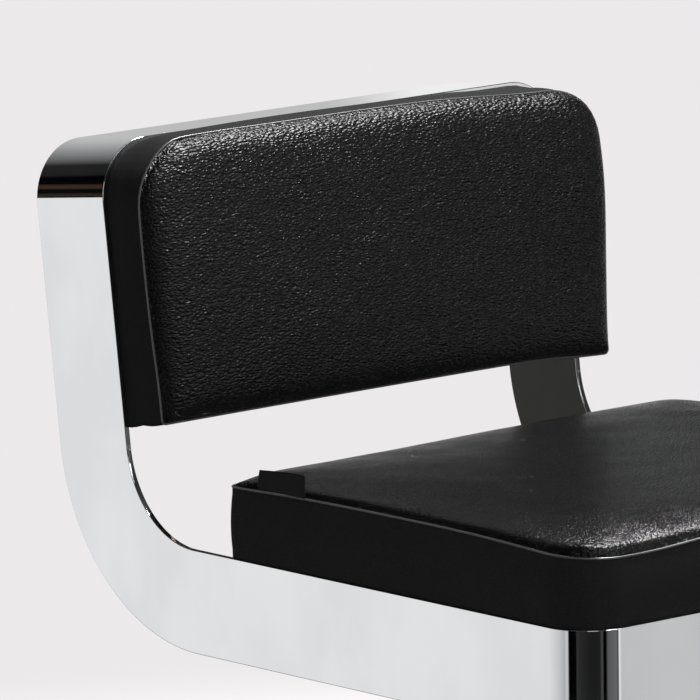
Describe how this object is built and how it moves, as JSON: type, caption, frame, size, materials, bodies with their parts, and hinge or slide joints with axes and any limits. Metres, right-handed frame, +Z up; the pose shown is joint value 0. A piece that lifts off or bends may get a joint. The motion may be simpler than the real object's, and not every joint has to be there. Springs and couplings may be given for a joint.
{
  "type": "threading chair",
  "caption": "Salon chair with black cushions carried in a bent chromed steel band frame, on a foot-pumped, swivelling lift column with a round base.",
  "frame": {"origin": "on the floor, on the axis of the lift column", "axes": "+Z up, the sitter faces -Y, +X to the sitter's left"},
  "size_m": [0.5999, 0.7206, 0.7451],
  "materials": {
    "chrome": "mirror-polished steel",
    "steel": "turned steel",
    "zinc": "zinc-plated",
    "black_enamel": "black powder coat",
    "brass": "machined",
    "rubber": "matt",
    "black_plastic": "fine matt texture",
    "black_leather": "fine pebbled black upholstery",
    "label_satin": "woven satin tab, bare",
    "plywood": "raw birch plywood"
  },
  "bodies": {
    "base": {"floor_mat": "rubber", "base_plate": "steel", "base_cover": "chrome", "pump_foot": "steel", "foot_bolts": "zinc", "pump_cylinder": "steel", "guide_bush": "brass", "wiper_seal": "rubber", "pump_shroud": "chrome", "shroud_cap": "black_plastic", "lever_bracket": "steel", "pivot_pin": "steel", "lever_spring": "steel", "plunger_guide": "steel"},
    "pedal": {"pedal_lever": "chrome", "pedal_pad": "rubber"},
    "plunger": {"pump_plunger": "chrome"},
    "lift": {"lift_ram": "chrome", "piston_head": "steel", "piston_seal": "rubber", "lower_race": "steel", "bearing_balls": "chrome", "retaining_ring": "steel"},
    "seat": {"upper_race": "steel", "swivel_hub": "black_enamel", "mount_plate": "black_enamel", "mount_bolts": "zinc", "front_cross_bar": "black_enamel", "rear_cross_bar": "black_enamel", "board_screws": "zinc", "tee_nuts": "zinc", "seat_board": "plywood", "right_side_plate": "chrome", "left_side_plate": "chrome", "top_rail": "chrome", "front_rail": "chrome", "seat_cushion": "black_leather", "side_label": "label_satin", "back_cushion": "black_leather", "back_board": "plywood", "right_back_angle": "black_enamel", "left_back_angle": "black_enamel", "back_screws": "zinc", "panel_spacers": "plywood", "spacer_screws": "zinc", "rear_panel": "black_leather", "bottom_trim": "black_plastic"}
  },
  "joints": [
    {"name": "lift_slide", "type": "slide", "parent": "base", "child": "lift", "axis": [0, 0, 1], "range_m": [0, 0.15]},
    {"name": "seat_swivel", "type": "hinge", "parent": "lift", "child": "seat", "pos_m": [0, 0, 0.35], "axis": [0, 0, 1], "continuous": true},
    {"name": "pedal_hinge", "type": "hinge", "parent": "base", "child": "pedal", "pos_m": [0, 0.0585, 0.072], "axis": [-1, 0, 0], "range_deg": [0, 16], "stiffness_Nm_per_rad": 6, "springref_deg": -28.65},
    {"name": "plunger_slide", "type": "slide", "parent": "base", "child": "plunger", "axis": [0, 0, 1], "range_m": [0, 0.0042]}
  ],
  "couplings": [
    {"joint": "plunger_slide", "follows": "pedal_hinge", "m_per_rad": 0.01495}
  ]
}
